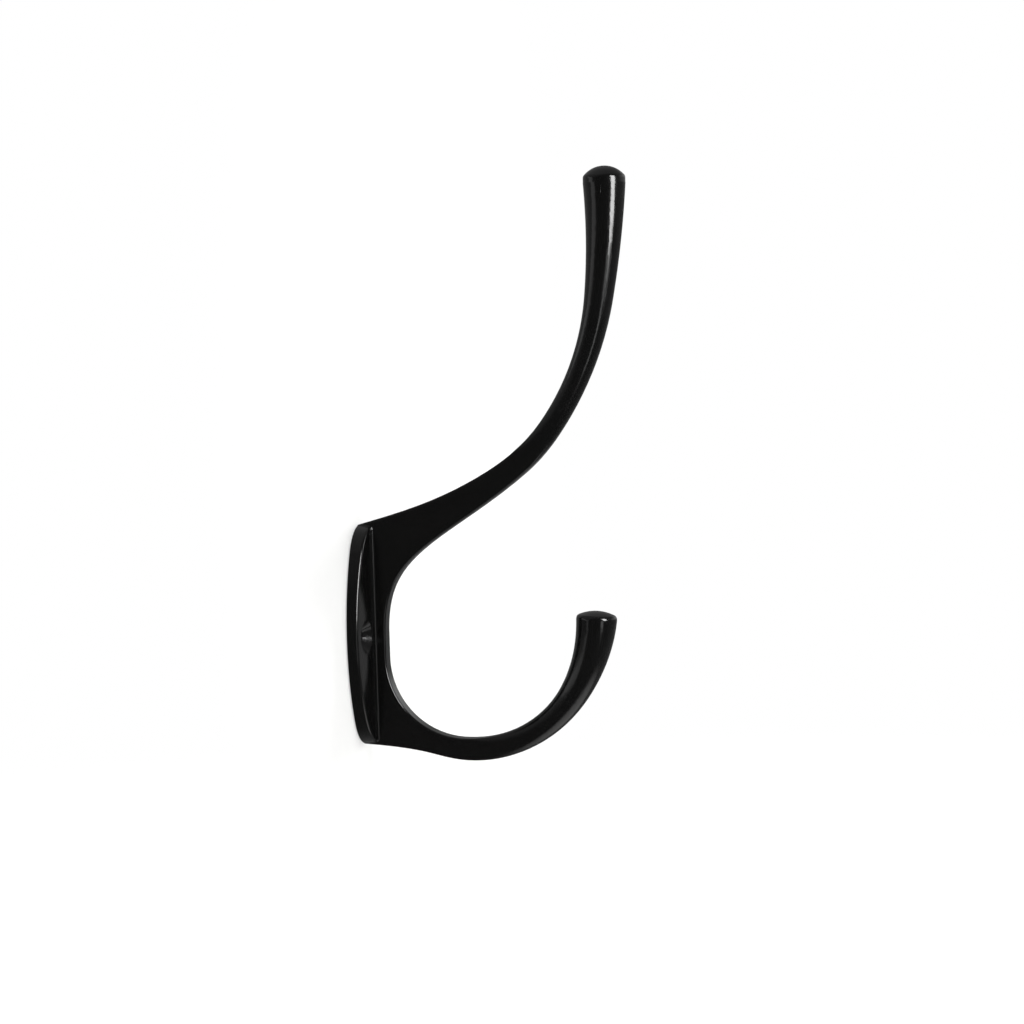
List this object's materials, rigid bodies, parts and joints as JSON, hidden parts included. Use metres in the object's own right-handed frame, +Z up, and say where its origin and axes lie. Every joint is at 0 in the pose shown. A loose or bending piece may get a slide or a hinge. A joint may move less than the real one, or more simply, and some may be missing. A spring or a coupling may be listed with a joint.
{
  "type": "coat hook",
  "caption": "Die-cast wall hook for a coat and a hat: an oval screw plate, a long upper prong that curves up and a short curled lower prong, both with domed tips.",
  "frame": {"origin": "on the wall plane, at the middle of the oval wall plate's flat back", "axes": "+X out of the wall, +Z up the wall towards the tip of the long prong, +Y across the wall"},
  "size_m": [0.062, 0.0276, 0.1297],
  "materials": {
    "black_paint": "semi-gloss black paint on a zinc alloy casting"
  },
  "bodies": {
    "root": {"coat_hook": "black_paint"}
  },
  "joints": []
}
